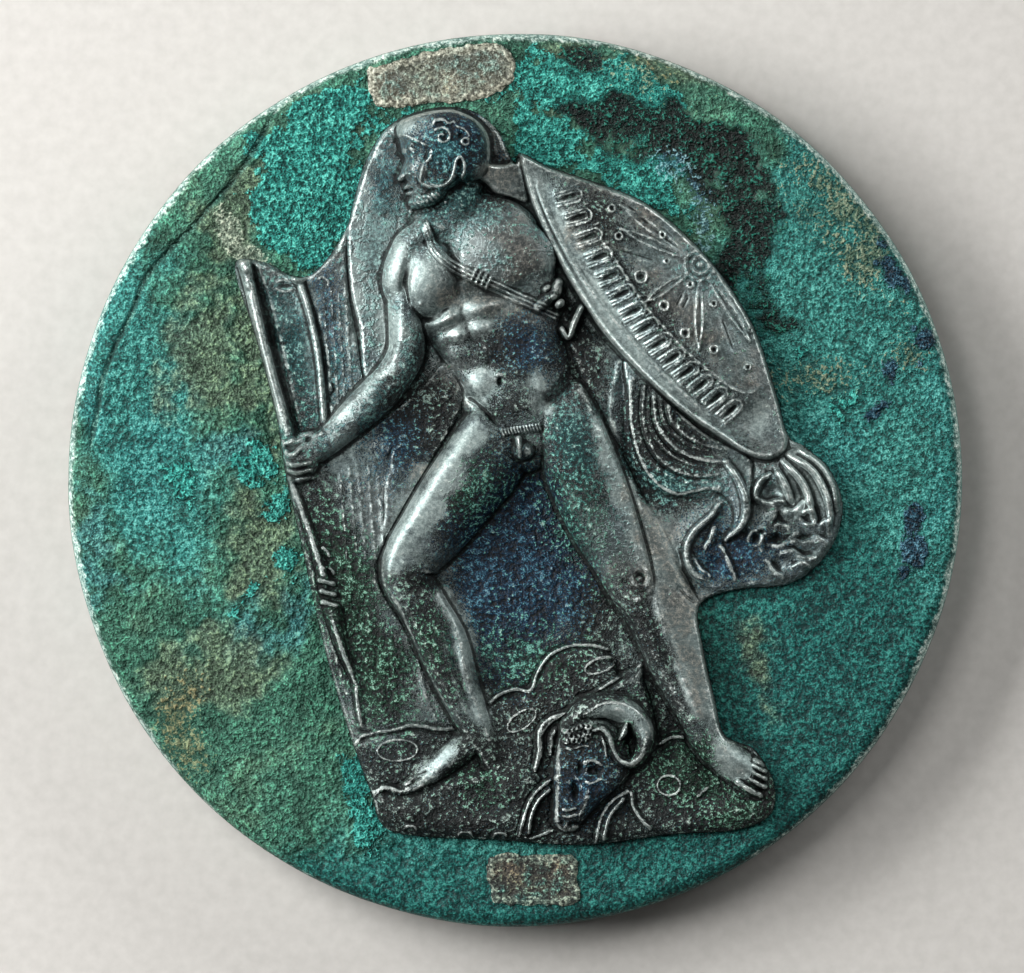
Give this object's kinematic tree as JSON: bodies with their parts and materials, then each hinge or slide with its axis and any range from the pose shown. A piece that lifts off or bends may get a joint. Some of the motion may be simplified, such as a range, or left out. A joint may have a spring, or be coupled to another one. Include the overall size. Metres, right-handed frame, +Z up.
{
  "type": "box mirror",
  "caption": "Ancient round bronze box mirror: a lift-off lid with a soldered relief of a striding warrior with shield, spear and ram, over a cast mirror disc.",
  "frame": {"origin": "middle of the underside, on the plane of the mirror's foot ring", "axes": "+Z up out of the lid's relief, +Y towards the top of the relief's picture, +X to the picture's right"},
  "size_m": [0.1792, 0.179, 0.0261],
  "materials": {
    "mirror_disc": "green patinated cast bronze, matt",
    "lid": "malachite-green patinated sheet bronze, rough crust",
    "relief": "dark bronze with silvery worn highs and green and blue crust",
    "hinge_solder": "dull grey-tan tin-lead solder residue",
    "handle_solder": "brownish earthy solder residue"
  },
  "bodies": {
    "root": {"mirror_disc": "mirror_disc", "lid": "lid", "relief": "relief", "hinge_solder": "hinge_solder", "handle_solder": "handle_solder"}
  },
  "joints": []
}
